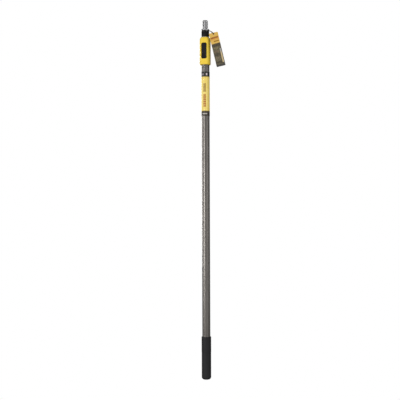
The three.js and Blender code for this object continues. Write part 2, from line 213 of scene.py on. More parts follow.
def grown(name, tree, values, base=None, degrees=32):
    # runs a shape tree once and keeps the result as a plain mesh
    carrier = bpy.data.objects.new(name, base or bpy.data.meshes.new(name))
    scene.collection.objects.link(carrier)
    modifier = carrier.modifiers.new("shape", "NODES")
    modifier.node_group = tree
    identifiers = {item.name: item.identifier for item in tree.interface.items_tree if item.in_out == "INPUT"}
    for label, value in values.items():
        modifier[identifiers[label]] = value
    graph = bpy.context.evaluated_depsgraph_get()
    mesh = bpy.data.meshes.new_from_object(carrier.evaluated_get(graph))
    bpy.data.objects.remove(carrier)
    mesh.name = name
    return smoothBelow(mesh, degrees)


# camera

view = {"azimuth": 13, "distance": 2.95, "height": 0.6247, "roll": -0.2, "across": 1.394,
        "shift": -0.0147}


def makeCamera():
    data = bpy.data.cameras.new("poleCamera")
    data.sensor_width = 36
    data.lens = data.sensor_width * view["distance"] / view["across"]
    data.shift_x = view["shift"]
    camera = bpy.data.objects.new("poleCamera", data)
    scene.collection.objects.link(camera)
    turn = Matrix.Rotation(math.radians(view["azimuth"]), 4, "Z")
    upright = Matrix.Rotation(math.pi / 2, 4, "X")
    roll = Matrix.Rotation(math.radians(view["roll"]), 4, "Z")
    place = turn @ Vector((0, -view["distance"], view["height"]))
    camera.matrix_world = Matrix.Translation(place) @ turn @ upright @ roll
    scene.camera = camera


makeCamera()


# finishes

def startFinish(name, hexColour, **sockets):
    # a Principled finish; its plain values stand on the shader's own sockets
    finish = bpy.data.materials.new(name)
    finish.use_nodes = True
    tree = finish.node_tree
    shader = tree.nodes["Principled BSDF"]
    shader.inputs["Base Color"].default_value = linear(hexColour)
    for key, value in sockets.items():
        shader.inputs[key.replace("_", " ")].default_value = value
    where = addNode(tree, "ShaderNodeTexCoord").outputs["Object"]
    return finish, tree, shader, where


def blended(tree, share, first, second):
    node = addNode(tree, "ShaderNodeMix", {"data_type": "RGBA"}, {"Factor": share})
    colourInputs = [socket for socket in node.inputs if socket.type == "RGBA"]
    for socket, value in zip(colourInputs, (first, second)):
        if isinstance(value, bpy.types.NodeSocket):
            tree.links.new(value, socket)
        else:
            socket.default_value = linear(value)
    return next(output for output in node.outputs if output.type == "RGBA")


def noise(tree, where, sizeMm, stretch=(1, 1, 1), detail=3.0, roughness=0.55):
    # a pattern whose features are about sizeMm across, longer along an axis where stretch is small
    mapped = addNode(tree, "ShaderNodeMapping", None, {"Vector": where, "Scale": stretch})
    return addNode(tree, "ShaderNodeTexNoise", None,
                   {"Vector": mapped.outputs[0], "Scale": 1 / (sizeMm * mm), "Detail": detail,
                    "Roughness": roughness}).outputs[0]


def ranged(tree, value, low, high, toLow, toHigh):
    return addNode(tree, "ShaderNodeMapRange", {"clamp": True},
                   {0: value, 1: low, 2: high, 3: toLow, 4: toHigh}).outputs[0]


def bumped(tree, shader, height, depthMm, strength=1.0):
    bump = addNode(tree, "ShaderNodeBump", None,
                   {"Height": height, "Distance": depthMm * mm, "Strength": strength})
    tree.links.new(bump.outputs[0], shader.inputs["Normal"])


def coloured(tree, shader, share, dark, light):
    tree.links.new(blended(tree, share, dark, light), shader.inputs["Base Color"])


def roughened(tree, shader, value, toLow, toHigh):
    tree.links.new(ranged(tree, value, 0.3, 0.7, toLow, toHigh), shader.inputs["Roughness"])


def drawnAluminium(name, dark, light, roughness):
    # extruded and drawn aluminium: fine lines along the tube, slightly cloudy
    finish, tree, shader, where = startFinish(name, light, Metallic=1.0, Roughness=roughness)
    lines = noise(tree, where, 0.7, (1, 1, 0.004), 4)
    clouds = noise(tree, where, 35, (1, 1, 0.3), 3)
    share = calculate(tree, "MULTIPLY_ADD", lines, 0.6, calculate(tree, "MULTIPLY", clouds, 0.4))
    coloured(tree, shader, ranged(tree, share, 0.36, 0.64, 0, 1), dark, light)
    roughened(tree, shader, share, roughness + 0.08, roughness - 0.06)
    bumped(tree, shader, lines, 0.02, 0.35)
    return finish


def mouldedPlastic(name, dark, light, roughness, shine=0.5, grainMm=0.35, grainDepth=0.012):
    # injection moulded plastic: a very fine spark-eroded grain and faint flow clouds
    finish, tree, shader, where = startFinish(name, light, Roughness=roughness, IOR=1.5,
                                              Specular_IOR_Level=shine)
    clouds = noise(tree, where, 18, (1, 1, 0.5), 3)
    grain = noise(tree, where, grainMm, (1, 1, 1), 2)
    coloured(tree, shader, ranged(tree, clouds, 0.35, 0.65, 0, 1), dark, light)
    roughened(tree, shader, grain, roughness - 0.05, roughness + 0.07)
    bumped(tree, shader, grain, grainDepth, 0.4)
    return finish


def plainSteel(name, dark, light, roughness, grainMm=0.8):
    # plated or cast steel: cloudy plating with tiny pits
    finish, tree, shader, where = startFinish(name, light, Metallic=1.0, Roughness=roughness)
    clouds = noise(tree, where, 6, (1, 1, 1), 4)
    pits = noise(tree, where, grainMm, (1, 1, 1), 3)
    coloured(tree, shader, ranged(tree, clouds, 0.35, 0.65, 0, 1), dark, light)
    roughened(tree, shader, pits, roughness + 0.1, roughness - 0.05)
    bumped(tree, shader, pits, 0.03, 0.4)
    return finish


def gripRubber():
    # moulded thermoplastic rubber: matt, with a leathery grain that scatters the light
    finish, tree, shader, where = startFinish("gripRubber", "#1a1a1b", Roughness=0.62, IOR=1.5,
                                              Specular_IOR_Level=0.35)
    cells = addNode(tree, "ShaderNodeTexVoronoi", {"feature": "DISTANCE_TO_EDGE"},
                    {"Vector": where, "Scale": 1 / (0.9 * mm)}).outputs[0]
    clouds = noise(tree, where, 14, (1, 1, 0.4), 4)
    coloured(tree, shader, ranged(tree, clouds, 0.35, 0.65, 0, 1), "#151516", "#1f1f21")
    roughened(tree, shader, clouds, 0.55, 0.7)
    bumped(tree, shader, ranged(tree, cells, 0, 0.2, 0, 1), 0.06, 0.5)
    return finish


def twistedFibre():
    # twisted polyester cord: dull, with hairs finer than the strands
    finish, tree, shader, where = startFinish("twistedFibre", "#24150f", Roughness=0.85, Sheen_Weight=0.1)
    hairs = noise(tree, where, 0.25, (1, 1, 1), 4)
    coloured(tree, shader, ranged(tree, hairs, 0.35, 0.65, 0, 1), "#180d09", "#33201a")
    bumped(tree, shader, hairs, 0.08, 0.6)
    return finish


finishes = {
    "tube": drawnAluminium("drawnAluminium", "#6b6763", "#817d79", 0.31),
    "innerTube": drawnAluminium("brightAluminium", "#9b9c9e", "#bcbdbf", 0.3),
    "yellow": mouldedPlastic("yellowAbs", "#fcd433", "#ffdd42", 0.36),
    "black": mouldedPlastic("blackNylon", "#0a080a", "#110e10", 0.42, 0.22),
    "glide": mouldedPlastic("naturalAcetal", "#d2cfc4", "#dedbd0", 0.45),
    "tip": plainSteel("castZincTip", "#9d9d9e", "#c0c0c1", 0.34, 0.5),
    "steel": plainSteel("zincPlatedSteel", "#a3a4a6", "#c4c5c7", 0.3),
    "screw": plainSteel("blackenedSteel", "#2c2c2f", "#454548", 0.4),
    "grip": gripRubber(),
    "string": twistedFibre(),
}
print("finishes made")


# string, knot and tag

tag = {"turn": 13, "tilt": 13.3, "hole": (28.5, 26.5, 1197.5)}

# across, out from the pole and height, in millimetres, in the tag's own directions
stringRoute = [
    (-1.0, -13.7, 1213.5), (-3.4, -12.3, 1213.5), (-7.0, -9.3, 1213.5), (-10.1, -5.4, 1213.5),
    (-11.5, 0.0, 1213.5), (-10.0, 5.8, 1213.5), (-5.9, 10.2, 1213.5), (-1.2, 12.5, 1213.5),
    (3.9, 14.8, 1213.5), (9.0, 17.0, 1213.0), (15.0, 19.2, 1210.6), (21.0, 21.2, 1205.6),
    (25.4, 22.7, 1201.4), (27.9, 23.8, 1198.8), (28.5, 25.1, 1197.8), (28.5, 26.5, 1197.5),
    (28.4, 28.0, 1197.9), (27.7, 28.8, 1199.3), (26.2, 29.0, 1201.3), (24.4, 28.3, 1203.4),
    (22.0, 25.4, 1205.8), (19.6, 20.0, 1208.3), (17.0, 12.0, 1211.0), (14.6, 3.8, 1213.1),
    (12.3, -1.8, 1213.5), (9.9, -5.8, 1213.5), (6.5, -9.5, 1213.5), (3.2, -12.2, 1213.5),
    (1.0, -13.7, 1213.5),
]
string = {"diameter": 1.9, "lobes": 3, "lobeDepth": 0.12, "turnMm": 3.4, "stepMm": 0.45, "profileSteps": 18}
knot = {"centre": (0, -15.8, 1213.5), "turns": 3, "coil": 0.95, "strand": 0.7, "width": 3.2, "tail": 6}


def tagToWorld(point):
    across, out, z = point
    turn = Matrix.Rotation(math.radians(tag["turn"]), 4, "Z")
    return turn @ Vector((across * mm, -out * mm, z * mm))


def smoothRoute(points, step):
    # a centripetal Catmull-Rom curve through the points, cut into even steps
    ends = [points[0] * 2 - points[1]] + list(points) + [points[-1] * 2 - points[-2]]
    fine = []
    for a, b, c, d in zip(ends, ends[1:], ends[2:], ends[3:]):
        t1 = (b - a).length ** 0.5
        t2 = t1 + (c - b).length ** 0.5
        t3 = t2 + (d - c).length ** 0.5
        count = max(2, round((c - b).length / step))
        for i in range(count):
            t = t1 + (t2 - t1) * i / count
            ab = a * ((t1 - t) / t1) + b * (t / t1)
            bc = b * ((t2 - t) / (t2 - t1)) + c * ((t - t1) / (t2 - t1))
            cd = c * ((t3 - t) / (t3 - t2)) + d * ((t - t2) / (t3 - t2))
            abc = ab * ((t2 - t) / t2) + bc * (t / t2)
            bcd = bc * ((t3 - t) / (t3 - t1)) + cd * ((t - t1) / (t3 - t1))
            fine.append(abc * ((t2 - t) / (t2 - t1)) + bcd * ((t - t1) / (t2 - t1)))
    return fine + [points[-1]]


def cordTree():
    # sweeps a lobed, twisting section along a line of points, as laid strands
    tree, inputs = startTree("twistedCord", {
        "Line": "Object", "Radius": "Float", "Lobe Depth": "Float", "Lobes": "Int", "Twist": "Float",
        "Section Steps": "Int", "Finish": "Material"})
    line = addNode(tree, "GeometryNodeObjectInfo", None, {"Object": inputs["Line"]}).outputs["Geometry"]
    along = addNode(tree, "GeometryNodeSplineParameter").outputs["Length"]
    tilted = addNode(tree, "GeometryNodeSetCurveTilt", None,
                     {"Curve": line, "Tilt": calculate(tree, "MULTIPLY", along, inputs["Twist"])})
    section = addNode(tree, "GeometryNodeCurvePrimitiveCircle", None,
                      {"Resolution": inputs["Section Steps"], "Radius": inputs["Radius"]}).outputs["Curve"]
    here = addNode(tree, "GeometryNodeInputPosition").outputs[0]
    split = addNode(tree, "ShaderNodeSeparateXYZ", None, {0: here}).outputs
    angle = calculate(tree, "ARCTAN2", split["Y"], split["X"])
    wave = calculate(tree, "COSINE", calculate(tree, "MULTIPLY", angle, inputs["Lobes"]))
    share = calculate(tree, "MULTIPLY_ADD", wave, inputs["Lobe Depth"], 1.0)
    scaled = addNode(tree, "ShaderNodeVectorMath", {"operation": "SCALE"}, {0: here, "Scale": share})
    lobed = shifted(tree, section, Position=scaled.outputs[0])
    swept = addNode(tree, "GeometryNodeCurveToMesh", None,
                    {"Curve": tilted.outputs[0], "Profile Curve": lobed, "Fill Caps": True})
    endTree(tree, swept.outputs[0], inputs["Finish"])
    return tree


def lineObject(name, points):
    data = bpy.data.curves.new(name, "CURVE")
    data.dimensions = "3D"
    spline = data.splines.new("POLY")
    spline.points.add(len(points) - 1)
    for target, point in zip(spline.points, points):
        target.co = (*point, 1)
    thing = bpy.data.objects.new(name, data)
    scene.collection.objects.link(thing)
    return thing


def sweptCord(name, tree, points, diameter):
    line = lineObject(name + "Line", points)
    mesh = grown(name, tree, {
        "Line": line, "Radius": diameter / 2 * mm, "Lobe Depth": string["lobeDepth"],
        "Lobes": string["lobes"], "Twist": 2 * math.pi / (string["turnMm"] * mm),
        "Section Steps": string["profileSteps"], "Finish": finishes["string"]}, degrees=80)
    bpy.data.objects.remove(line)
    return mesh


def makeString():
    tree = cordTree()
    route = smoothRoute([tagToWorld(point) for point in stringRoute], string["stepMm"] * mm)
    mesh = sweptCord("tagString", tree, route, string["diameter"])
    cord = addPiece("tagString", mesh, "tag_loop", None, ["tag_string"])
    tied = makeKnot(tree)
    length = sum((b - a).length for a, b in zip(route, route[1:]))
    return length


def makeKnot(tree):
    # a wrapped knot: the strand winds round itself and leaves two cut tails
    across, out, z = knot["centre"]
    coils = []
    steps = 20
    for i in range(knot["turns"] * steps + 1):
        angle = 2 * math.pi * i / steps
        side = -knot["width"] / 2 + knot["width"] * i / (knot["turns"] * steps)
        point = (across + side, out + knot["coil"] * math.cos(angle), z + knot["coil"] * math.sin(angle))
        coils.append(point)
    wound = sweptCord("knotCoil", tree, [tagToWorld(point) for point in coils], knot["strand"] * 2)
    tails = []
    for side in (-1, 1):
        x = across + side * 0.9
        points = [(x, out - 0.6, z), (x * 1.3, out - 1.2, z - 1.5), (x * 1.8, out - 1.3, z - knot["tail"])]
        route = smoothRoute([tagToWorld(point) for point in points], string["stepMm"] * mm)
        tails.append(sweptCord("knotTail", tree, route, string["diameter"] * 0.9))
    mesh = joined("tagKnot", [wound, *tails])
    return addPiece("tagKnot", mesh, "tag_loop", finishes["string"], ["tag_knot"])


stringLength = makeString()
print("string and knot made, length", round(stringLength, 4))


# printed tag and label

def inside(tree, value, low, high, soft=0.08):
    # 1 between two values, in millimetres, with a soft printed edge
    rise = ranged(tree, value, (low - soft) * mm, (low + soft) * mm, 0, 1)
    fall = ranged(tree, value, (high - soft) * mm, (high + soft) * mm, 1, 0)
    return calculate(tree, "MULTIPLY", rise, fall)


def patch(tree, across, up, left, right, low, high):
    return calculate(tree, "MULTIPLY", inside(tree, across, left, right), inside(tree, up, low, high))


def stripes(tree, value, pitchMm, share):
    # evenly spaced bars across a value
    phase = calculate(tree, "FRACT", calculate(tree, "DIVIDE", value, pitchMm * mm))
    return calculate(tree, "LESS_THAN", phase, share)


def tagCard():
    # coated card printed in four colours: yellow head, dark picture below and a pale stripe at one side
    finish, tree, shader, where = startFinish("printedCard", "#e6b94e", Roughness=0.42, Coat_Weight=0.25)
    turn = Matrix.Rotation(math.radians(tag["turn"]), 4, "Z")
    face = turn @ Matrix.Rotation(math.pi / 2, 4, "X") @ Matrix.Rotation(math.radians(tag["tilt"]), 4, "Z")
    mapped = addNode(tree, "ShaderNodeMapping", {"vector_type": "TEXTURE"},
                     {"Vector": where, "Location": tagToWorld(tag["hole"]), "Rotation": face.to_euler()})
    local = mapped.outputs[0]
    split = addNode(tree, "ShaderNodeSeparateXYZ", None, {0: local}).outputs
    across, up = split["X"], split["Y"]
    fibres = noise(tree, local, 1.2, (1, 1, 1), 4)
    blotches = noise(tree, local, 6, (1, 1.8, 1), 4, 0.6)
    yellow = blended(tree, ranged(tree, fibres, 0.3, 0.7, 0, 1), "#dfb04a", "#ecc45c")
    picture = blended(tree, ranged(tree, blotches, 0.36, 0.64, 0, 1), "#342c17", "#857b57")
    for low, high, share in ((-44, -31, 0.65), (-77, -66, 0.6), (-104, -94, 0.65)):
        shade = calculate(tree, "MULTIPLY", inside(tree, up, low, high, 3), share)
        picture = blended(tree, shade, picture, "#2a2013")
    edge = calculate(tree, "ADD", up, calculate(tree, "MULTIPLY", across, -0.06))
    colour = blended(tree, inside(tree, edge, -33, 6), picture, yellow)
    pale = blended(tree, ranged(tree, up, -70 * mm, -58 * mm, 0, 1), "#d9c191", "#a9a9a6")
    colour = blended(tree, patch(tree, across, up, 8.8, 13.2, -101, -52), colour, pale)
    marks = [
        (-14, 14, -15.5, -9.5, "#a8650f"),
        (-14, 14, -19.5, -16.8, "#e09a3e"),
        (-5, 13, -27.5, -23, "#a5760c"),
        (13.2, 15.7, -103, -45, "#52473a"),
        (-15.7, 15.7, -114, -106, "#3f3b35"),
    ]
    for left, right, low, high, ink in marks:
        colour = blended(tree, patch(tree, across, edge, left, right, low, high), colour, ink)
    for base, ink in ((-46, "#8c8156"), (-58, "#7a5f4c"), (-80, "#80705c"), (-88, "#756c55")):
        rows = calculate(tree, "MULTIPLY", patch(tree, across, up, -11, 4, base - 6, base),
                         stripes(tree, up, 2.4, 0.5))
        colour = blended(tree, rows, colour, ink)
    away = calculate(tree, "SQRT", calculate(tree, "ADD", calculate(tree, "MULTIPLY", across, across),
                                             calculate(tree, "MULTIPLY", up, up)))
    colour = blended(tree, ranged(tree, away, 2.6 * mm, 2.75 * mm, 1, 0), colour, "#7a4420")
    tree.links.new(colour, shader.inputs["Base Color"])
    roughened(tree, shader, fibres, 0.36, 0.5)
    bumped(tree, shader, fibres, 0.015, 0.3)
    return finish


label = {"radius": 14.5, "topBand": 17.4, "lowBand": 16.7}


def labelFilm():
    # printed vinyl film stretched round the flutes: yellow between two dark bands, with plain printed marks
    finish, tree, shader, where = startFinish("printedFilm", "#f3d062", Roughness=0.4, Coat_Weight=0.08)
    split = addNode(tree, "ShaderNodeSeparateXYZ", None, {0: where}).outputs
    angle = calculate(tree, "ARCTAN2", split["X"], calculate(tree, "MULTIPLY", split["Y"], -1.0))
    around = calculate(tree, "MULTIPLY", angle, label["radius"] * mm)
    low, high = [corner.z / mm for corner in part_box("label_sleeve")]
    up = split["Z"]
    fibres = noise(tree, where, 0.8, (1, 1, 1), 3)
    fade = noise(tree, where, 25, (1, 1, 0.4), 3)
    colour = blended(tree, ranged(tree, fade, 0.35, 0.65, 0, 1), "#fbdc66", "#ffe580")
    marks = [
        (-50, 50, high - label["topBand"], high + 2, "#16170f"),
        (-50, 50, low - 2, low + label["lowBand"], "#2a1e08"),
        (-50, 50, high - label["topBand"] - 1.6, high - label["topBand"] - 0.8, "#8a6f2a"),
        (-50, 50, low + label["lowBand"] + 0.8, low + label["lowBand"] + 1.6, "#8a6f2a"),
        (-15, -2.6, high - 12.5, high - 6.5, "#8a8086"),
        (5, 10, high - 13, high - 5.5, "#d6c8cc"),
        (-8.5, 9, low + 5.5, low + 9.5, "#c3bdb6"),
    ]
    for left, right, bottom, top, ink in marks:
        colour = blended(tree, patch(tree, around, up, left, right, bottom, top), colour, ink)
    textRows = [(high - 70, high - 40.5, 4.2, "#a5802f"), (low + 31, low + 75, 6.3, "#b9701f")]
    for bottom, top, pitch, ink in textRows:
        rows = calculate(tree, "MULTIPLY", patch(tree, around, up, -4.8, 4.8, bottom, top),
                         stripes(tree, up, pitch, 0.8))
        colour = blended(tree, rows, colour, ink)
    tree.links.new(colour, shader.inputs["Base Color"])
    roughened(tree, shader, fade, 0.3, 0.42)
    bumped(tree, shader, fibres, 0.01, 0.25)
    return finish


def paintNode(node, finish):
    thing = frame["nodes"][node]
    for i in range(len(thing.material_slots)):
        thing.material_slots[i].material = finish


paintNode("hang_tag", tagCard())
print("tag printed")


# fluted tube and label

tube = {"radius": 14.2, "bore": 11.7, "fluteDepth": 0.9, "flutes": 8, "turn": 16.875, "sharpness": 3.0,
        "steps": 384}
sleeve = {"gap": 0.3, "thick": 0.35}


def fluteTree():
    # a wall between an outer and an inner outline, each with narrow grooves, raised along the axis
    tree, inputs = startTree("flutedWall", {
        "Outer Radius": "Float", "Outer Depth": "Float", "Inner Radius": "Float", "Inner Depth": "Float",
        "Flutes": "Int", "Turn": "Float", "Sharpness": "Float", "Steps": "Int", "Low": "Float",
        "High": "Float", "Finish": "Material"})
    here = addNode(tree, "GeometryNodeInputPosition").outputs[0]
    split = addNode(tree, "ShaderNodeSeparateXYZ", None, {0: here}).outputs
    angle = calculate(tree, "ARCTAN2", split["X"], calculate(tree, "MULTIPLY", split["Y"], -1.0))
    fromFlute = calculate(tree, "SUBTRACT", angle, inputs["Turn"])
    wave = calculate(tree, "COSINE", calculate(tree, "MULTIPLY", fromFlute, inputs["Flutes"]))
    raised = calculate(tree, "MULTIPLY_ADD", wave, 0.5, 0.5)
    groove = calculate(tree, "POWER", calculate(tree, "MAXIMUM", raised, 0.0), inputs["Sharpness"])
    outlines = []
    for side in ("Outer", "Inner"):
        ring = addNode(tree, "GeometryNodeCurvePrimitiveCircle", None,
                       {"Resolution": inputs["Steps"], "Radius": inputs[f"{side} Radius"]}).outputs["Curve"]
        deep = calculate(tree, "MULTIPLY", groove, inputs[f"{side} Depth"])
        share = calculate(tree, "SUBTRACT", 1.0, calculate(tree, "DIVIDE", deep, inputs[f"{side} Radius"]))
        scaled = addNode(tree, "ShaderNodeVectorMath", {"operation": "SCALE"}, {0: here, "Scale": share})
        outlines.append(shifted(tree, ring, Position=scaled.outputs[0]))
    both = addNode(tree, "GeometryNodeJoinGeometry")
    for outline in reversed(outlines):
        tree.links.new(outline, both.inputs[0])
    filled = addNode(tree, "GeometryNodeFillCurve", None, {"Curve": both.outputs[0]}).outputs[0]
    height = calculate(tree, "SUBTRACT", inputs["High"], inputs["Low"])
    rise = addNode(tree, "ShaderNodeCombineXYZ", None, {"Z": height}).outputs[0]
    wall = addNode(tree, "GeometryNodeExtrudeMesh", None,
                   {"Mesh": filled, "Offset": rise, "Offset Scale": 1.0, "Individual": False}).outputs[0]
    base = addNode(tree, "GeometryNodeFlipFaces", None, {"Mesh": filled}).outputs[0]
    whole = addNode(tree, "GeometryNodeJoinGeometry")
    for part in (wall, base):
        tree.links.new(part, whole.inputs[0])
    welded = addNode(tree, "GeometryNodeMergeByDistance", None,
                     {"Geometry": whole.outputs[0], "Distance": 1e-6}).outputs[0]
    lift = addNode(tree, "ShaderNodeCombineXYZ", None, {"Z": inputs["Low"]}).outputs[0]
    endTree(tree, shifted(tree, welded, Offset=lift), inputs["Finish"])
    return tree


def makeTubes():
    tree = fluteTree()
    common = {"Flutes": tube["flutes"], "Turn": math.radians(tube["turn"]), "Sharpness": tube["sharpness"],
              "Steps": tube["steps"]}
    low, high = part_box("outer_tube")
    mesh = grown("flutedTube", tree, common | {
        "Outer Radius": tube["radius"] * mm, "Outer Depth": tube["fluteDepth"] * mm,
        "Inner Radius": tube["bore"] * mm, "Inner Depth": 0.0, "Low": low.z, "High": high.z,
        "Finish": finishes["tube"]}, degrees=40)
    addPiece("flutedTube", mesh, "outer_pole", None, ["outer_tube"])
    low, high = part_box("label_sleeve")
    inner = tube["radius"] + sleeve["gap"]
    mesh = grown("labelFilm", tree, common | {
        "Outer Radius": (inner + sleeve["thick"]) * mm, "Outer Depth": tube["fluteDepth"] * mm,
        "Inner Radius": (inner - 0.28) * mm, "Inner Depth": tube["fluteDepth"] * mm,
        "Low": low.z, "High": high.z, "Finish": labelFilm()}, degrees=40)
    addPiece("labelFilm", mesh, "outer_pole", None, ["label_sleeve"])


makeTubes()
print("tube and label made")


# grip

grip = {"upper": 16.7, "lower": 16.4, "round": 9, "seam": 94, "seamDepth": 0.6, "lip": 1.2, "socket": 14.45}


def makeGrip():
    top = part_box("grip_sleeve")[1].z / mm
    profile = [(0, 0)]
    profile += roundCorner(grip["lower"] - grip["round"], grip["round"], grip["round"], -90, 0, 14)
    profile += [(grip["lower"], grip["seam"] - 1.1)]
    profile += roundCorner(grip["lower"] - 0.5, grip["seam"] - 0.9, 0.5, 0, 80, 4)
    profile += [(grip["lower"] - grip["seamDepth"], grip["seam"] - 0.3)]
    profile += [(grip["lower"] - grip["seamDepth"], grip["seam"] + 0.3)]
    profile += roundCorner(grip["upper"] - 0.5, grip["seam"] + 0.9, 0.5, -80, 0, 4)
    profile += [(grip["upper"], top - grip["lip"])]
    profile += roundCorner(grip["upper"] - grip["lip"], top - grip["lip"], grip["lip"], 0, 90, 8)
    tubeFoot = min(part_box(node)[0].z for node in ("outer_tube", "end_plug")) / mm - fit
    profile += [(grip["socket"], top), (grip["socket"], tubeFoot), (0, tubeFoot)]
    mesh = turned("gripSleeve", [(radius * mm, z * mm) for radius, z in profile], 128)
    addPiece("gripSleeve", mesh, "outer_pole", finishes["grip"], ["grip_sleeve"])


makeGrip()
print("grip made")


# lock housing

housing = {"half": 18.5, "pad": 22.5, "padHalf": 8, "shoulder": -6, "pull": 10, "round": 2.5, "gap": 0.15,
           "edge": 0.35, "shoulderIn": 5.5, "shoulderRise": 16}
button = {"width": 18.4, "length": 54, "corner": 5, "front": -22.3, "back": -18.4, "round": 1.5,
          "scoop": 0.75, "scoopAt": -13.5, "scoopHalf": 13}
pocket = {"side": 0.4, "end": 0.9, "floor": -15.6}
cavity = {"half": 7, "floor": -12.4, "low": 1117.5, "high": 1169}
hexagon = {"flats": 19.6, "wall": 1.5, "passage": 20.4, "bush": 20.0, "round": 1.2}


def bezier(a, b, c, d, steps):
    points = []
    for i in range(1, steps + 1):
        t = i / steps
        weights = ((1 - t) ** 3, 3 * t * (1 - t) ** 2, 3 * t * t * (1 - t), t ** 3)
        points.append(tuple(sum(w * p[k] for w, p in zip(weights, (a, b, c, d))) for k in (0, 1)))
    return points


def housingOutline():
    half, shoulder, pad = housing["half"], housing["shoulder"], housing["pad"]
    points = [(half * math.cos(math.pi * i / 40), half * math.sin(math.pi * i / 40)) for i in range(41)]
    points.append((-half, shoulder))
    points += bezier((-half, shoulder), (-half, shoulder - housing["pull"]),
                     (-9 - housing["pull"] / 3, -pad), (-housing["padHalf"], -pad), 16)
    points += [(housing["padHalf"] * (i / 4 - 1), -pad) for i in range(1, 9)]
    points += bezier((housing["padHalf"], -pad), (9 + housing["pull"] / 3, -pad),
                     (half, shoulder - housing["pull"]), (half, shoulder), 16)
    return [(x * mm, y * mm) for x, y in points]


def shrunk(outline, inset):
    # moves each point of a convex outline inwards
    result = []
    count = len(outline)
    for i, (x, y) in enumerate(outline):
        ax, ay = outline[i - 1]
        bx, by = outline[(i + 1) % count]
        tangent = Vector((bx - ax, by - ay)).normalized()
        result.append((x - tangent.y * inset, y + tangent.x * inset))
    return result


def hexOutline(flats, radius, steps=6):
    # a hexagon with flats facing along Y and its corners rounded
    points = []
    for k in range(6):
        angle = math.pi * k / 3
        centre = (flats / 2 - radius) / math.cos(math.pi / 6)
        for i in range(steps + 1):
            turn = angle - math.pi / 6 + math.pi / 3 * i / steps
            points.append(((centre * math.cos(angle) + radius * math.cos(turn)) * mm,
                           (centre * math.sin(angle) + radius * math.sin(turn)) * mm))
    return points


def plateRing(width, length, corner, inset, depth, z, steps=10, sideSteps=30):
    # an upright rounded rectangle facing -Y, with points along its long sides too
    radius = max(corner - inset, 1e-3)
    x = max(width / 2 - inset - radius, 0)
    rise = length / 2 - inset - radius
    points = []
    for k, (signX, signZ) in enumerate(((1, 1), (-1, 1), (-1, -1), (1, -1))):
        for i in range(steps + 1):
            angle = math.pi / 2 * (k + i / steps)
            points.append((signX * x + radius * math.cos(angle), signZ * rise + radius * math.sin(angle)))
        if signX == (-1 if signZ > 0 else 1):
            side = signX * (x + radius)
            points += [(side, signZ * rise * (1 - 2 * i / sideSteps)) for i in range(1, sideSteps)]
    return [(px * mm, depth * mm, (z + pz) * mm) for px, pz in points]


def boxMesh(name, lowCorner, highCorner):
    work = bmesh.new()
    bmesh.ops.create_cube(work, size=1)
    mesh = bpy.data.meshes.new(name)
    work.to_mesh(mesh)
    work.free()
    size = [high - low for low, high in zip(lowCorner, highCorner)]
    middle = [(high + low) / 2 for low, high in zip(lowCorner, highCorner)]
    grow = Matrix.Diagonal((*[s * mm for s in size], 1))
    return moved(mesh, Matrix.Translation(Vector(middle) * mm) @ grow)


def acrossMesh(name, radius, fromY, toY, x, z, steps=48):
    # a cylinder along Y
    low, high, wide = fromY * mm, toY * mm, radius * mm
    mesh = turned(name, [(0, low), (wide, low), (wide, high), (0, high)], steps)
    turn = Matrix.Rotation(-math.pi / 2, 4, "X")
    return moved(mesh, Matrix.Translation((x * mm, 0, z * mm)) @ turn)


def housingBlock():
    low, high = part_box("lock_housing_front")
    outline = housingOutline()
    size = housing["round"] * mm
    steps = 8
    rings = []
    for i in range(steps + 1):
        angle = math.pi / 2 * i / steps
        foot = shrunk(outline, size * (1 - math.sin(angle)))
        rings.append(ringOf(foot, low.z + size * (1 - math.cos(angle))))
    straightLow, straightHigh = low.z + size, high.z - housing["shoulderRise"] * mm
    rings += [ringOf(outline, straightLow + (straightHigh - straightLow) * i / 24) for i in range(1, 24)]
    for i in range(2 * steps + 1):
        angle = math.pi / 2 * (1 - i / (2 * steps))
        inset = housing["shoulderIn"] * mm * (1 - math.sin(angle))
        drop = housing["shoulderRise"] * mm * (1 - math.cos(angle))
        rings.append(ringOf(shrunk(outline, inset), high.z - drop))
    return loft("housingBlock", rings)


